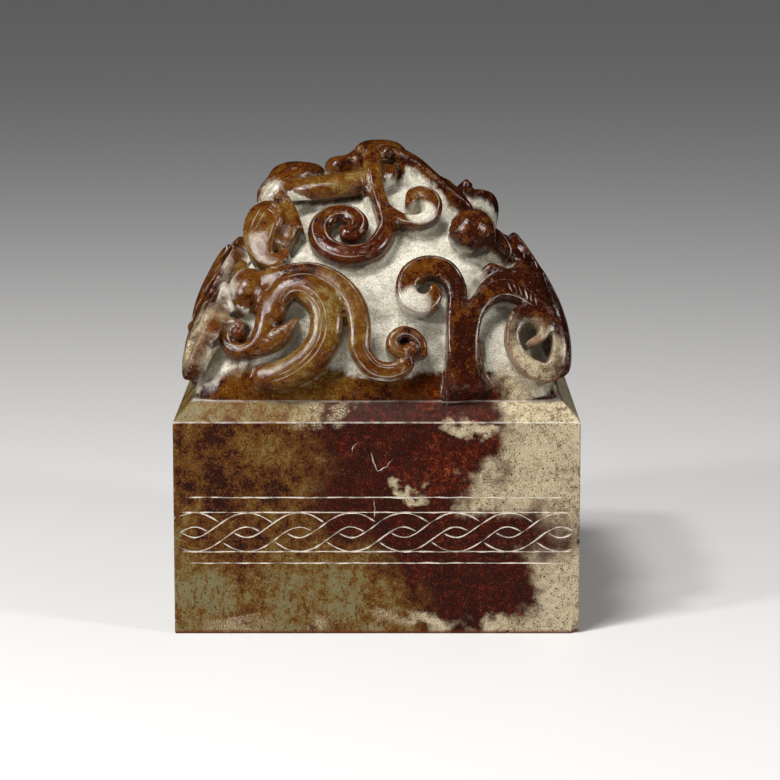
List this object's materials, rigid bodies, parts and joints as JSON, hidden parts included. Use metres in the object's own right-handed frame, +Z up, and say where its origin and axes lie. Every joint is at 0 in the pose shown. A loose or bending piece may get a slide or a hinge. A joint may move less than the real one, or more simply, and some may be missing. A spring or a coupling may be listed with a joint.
{
  "type": "jade seal stamp",
  "caption": "Square jade seal block with a domed knob carved with crawling chi dragons and scrolling tails, and an engraved braid round the block.",
  "frame": {"origin": "centre of the underside of the block, on the surface it stands on", "axes": "+Z up to the top of the knob, -Y out of the face shown in the picture, +X to that face's right"},
  "size_m": [0.08, 0.08, 0.0942],
  "materials": {
    "jade": "polished nephrite, mottled olive brown and dark red brown with pale grey patches, glossy on the relief and satin on the ground"
  },
  "bodies": {
    "root": {"jade_seal": "jade"}
  },
  "joints": []
}
